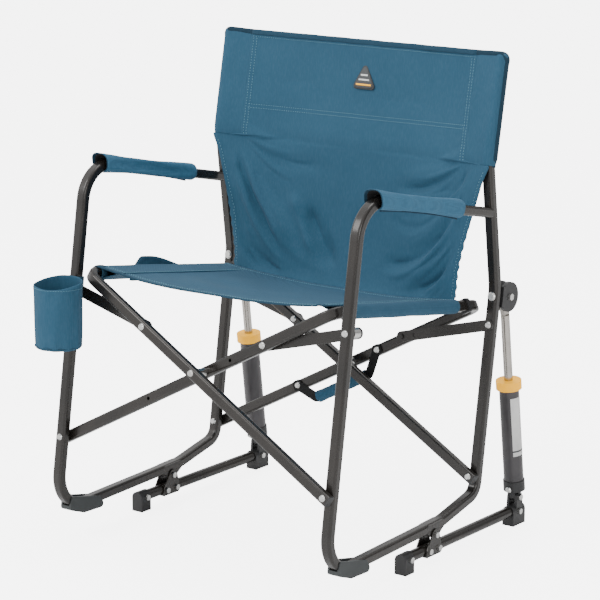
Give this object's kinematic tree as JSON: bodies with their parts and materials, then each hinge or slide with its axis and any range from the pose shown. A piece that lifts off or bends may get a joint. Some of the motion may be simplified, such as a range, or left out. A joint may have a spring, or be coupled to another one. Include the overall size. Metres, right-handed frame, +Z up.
{
  "type": "camp rocking chair",
  "caption": "Folding camp chair that rocks on spring struts, with sling seat and back, padded arms, crossed folding frames, a cup holder and a carry handle.",
  "frame": {"origin": "on the floor, under the middle of the chair's overall box", "axes": "+Z up, the sitter faces -Y, +X is the sitter's left"},
  "size_m": [0.6486, 0.656, 0.8821],
  "materials": {
    "frame_steel": "gloss",
    "fabric": "matt",
    "webbing": "matt",
    "black_plastic": "satin",
    "grey_plastic": "satin",
    "zinc": "satin",
    "chrome": "polished",
    "yellow_plastic": "gloss",
    "cylinder_paint": "satin",
    "spring_steel": "satin"
  },
  "bodies": {
    "ground_left": {"ground_tube_left": "frame_steel", "front_cap_left": "black_plastic", "rear_cap_left": "black_plastic", "rocker_bracket_left": "frame_steel", "ground_bolts_left": "zinc"},
    "side_left": {"side_tube_left": "frame_steel", "foot_glide_left": "grey_plastic", "hanger_bracket_left": "frame_steel", "arm_pad_left": "fabric", "strut_top_mount_left": "black_plastic", "leg_bolts_left": "zinc", "post_cap_left": "black_plastic", "back_fabric": "fabric"},
    "cylinder_left": {"strut_cylinder_left": "cylinder_paint", "strut_cross_left": "black_plastic", "strut_base_left": "black_plastic", "strut_foot_bolt_left": "zinc", "strut_collar_left": "yellow_plastic", "strut_spring_left": "spring_steel"},
    "rod_left": {"strut_rod_left": "chrome", "strut_piston_left": "black_plastic"},
    "links_left": {"link_front_left": "frame_steel", "link_rear_left": "frame_steel"},
    "ground_right": {"ground_tube_right": "frame_steel", "front_cap_right": "black_plastic", "rear_cap_right": "black_plastic", "rocker_bracket_right": "frame_steel", "ground_bolts_right": "zinc"},
    "side_right": {"side_tube_right": "frame_steel", "foot_glide_right": "grey_plastic", "hanger_bracket_right": "frame_steel", "arm_pad_right": "fabric", "strut_top_mount_right": "black_plastic", "leg_bolts_right": "zinc", "post_cap_right": "black_plastic", "cup_holder": "fabric"},
    "cylinder_right": {"strut_cylinder_right": "cylinder_paint", "strut_cross_right": "black_plastic", "strut_base_right": "black_plastic", "strut_foot_bolt_right": "zinc", "strut_collar_right": "yellow_plastic", "strut_spring_right": "spring_steel"},
    "rod_right": {"strut_rod_right": "chrome", "strut_piston_right": "black_plastic"},
    "links_right": {"link_front_right": "frame_steel", "link_rear_right": "frame_steel"},
    "frame_a": {"cross_frame_a": "frame_steel", "bar_plugs_a": "black_plastic", "link_seat_bolts_a": "zinc", "rail_tab_a": "black_plastic", "crossing_bolts": "zinc", "seat_fabric": "fabric", "side_pocket": "fabric"},
    "frame_b": {"cross_frame_b": "frame_steel", "bar_plugs_b": "black_plastic", "link_seat_bolts_b": "zinc", "rail_tab_b": "black_plastic", "handle_grip": "fabric", "handle_strap": "webbing", "handle_bolts": "zinc"}
  },
  "joints": [
    {"name": "rock", "type": "hinge", "parent": "ground_left", "child": "side_left", "pos_m": [0.30075, 0.03399, 0.052], "axis": [-1, 0, 0], "range_deg": [-8.9, 12], "stiffness_Nm_per_rad": 400, "deforming": ["strut_spring_left", "strut_spring_right"]},
    {"name": "fold", "type": "hinge", "parent": "side_left", "child": "frame_a", "pos_m": [0.30075, -0.25831, 0.19188], "axis": [0, 0.9878, -0.1556], "range_deg": [0, 31], "deforming": ["seat_fabric", "back_fabric", "side_pocket"]},
    {"name": "crossing", "type": "hinge", "parent": "frame_a", "child": "frame_b", "pos_m": [0.00075, -0.23302, 0.35245], "axis": [0, 0.9878, -0.1556], "range_deg": [-62, 0]},
    {"name": "foot_right", "type": "hinge", "parent": "frame_b", "child": "side_right", "pos_m": [-0.29925, -0.25831, 0.19188], "axis": [0, 0.9878, -0.1556], "range_deg": [0, 31]},
    {"name": "rock_right", "type": "hinge", "parent": "side_right", "child": "ground_right", "pos_m": [-0.29925, 0.03399, 0.052], "axis": [-1, 0, 0], "range_deg": [-12, 8.9]},
    {"name": "link_left", "type": "hinge", "parent": "side_left", "child": "links_left", "pos_m": [0.30075, -0.21579, 0.46185], "axis": [0, 0.9878, -0.1556], "range_deg": [0, 66.72]},
    {"name": "strut_tilt_left", "type": "hinge", "parent": "ground_left", "child": "cylinder_left", "pos_m": [0.30075, 0.30999, 0.052], "axis": [-1, 0, 0], "range_deg": [-8.33, 11.21]},
    {"name": "strut_slide_left", "type": "slide", "parent": "cylinder_left", "child": "rod_left", "axis": [0, -0.1258, 0.9921], "range_m": [-0.0568, 0.0422]},
    {"name": "link_right", "type": "hinge", "parent": "side_right", "child": "links_right", "pos_m": [-0.29925, -0.21579, 0.46185], "axis": [0, 0.9878, -0.1556], "range_deg": [-66.72, 0]},
    {"name": "strut_tilt_right", "type": "hinge", "parent": "ground_right", "child": "cylinder_right", "pos_m": [-0.29925, 0.30999, 0.052], "axis": [-1, 0, 0], "range_deg": [-8.33, 11.21]},
    {"name": "strut_slide_right", "type": "slide", "parent": "cylinder_right", "child": "rod_right", "axis": [0, -0.1258, 0.9921], "range_m": [-0.0568, 0.0422]}
  ],
  "couplings": [
    {"joint": "crossing", "follows": "fold", "ratio": -2},
    {"joint": "foot_right", "follows": "fold", "ratio": 1},
    {"joint": "rock_right", "follows": "rock", "ratio": -1},
    {"joint": "link_left", "follows": "fold", "ratio": 2.149},
    {"joint": "strut_tilt_left", "follows": "rock", "ratio": 0.93},
    {"joint": "strut_slide_left", "follows": "rock", "m_per_rad": -0.27},
    {"joint": "link_right", "follows": "fold", "ratio": -2.149},
    {"joint": "strut_tilt_right", "follows": "rock", "ratio": 0.93},
    {"joint": "strut_slide_right", "follows": "rock", "m_per_rad": -0.27}
  ]
}
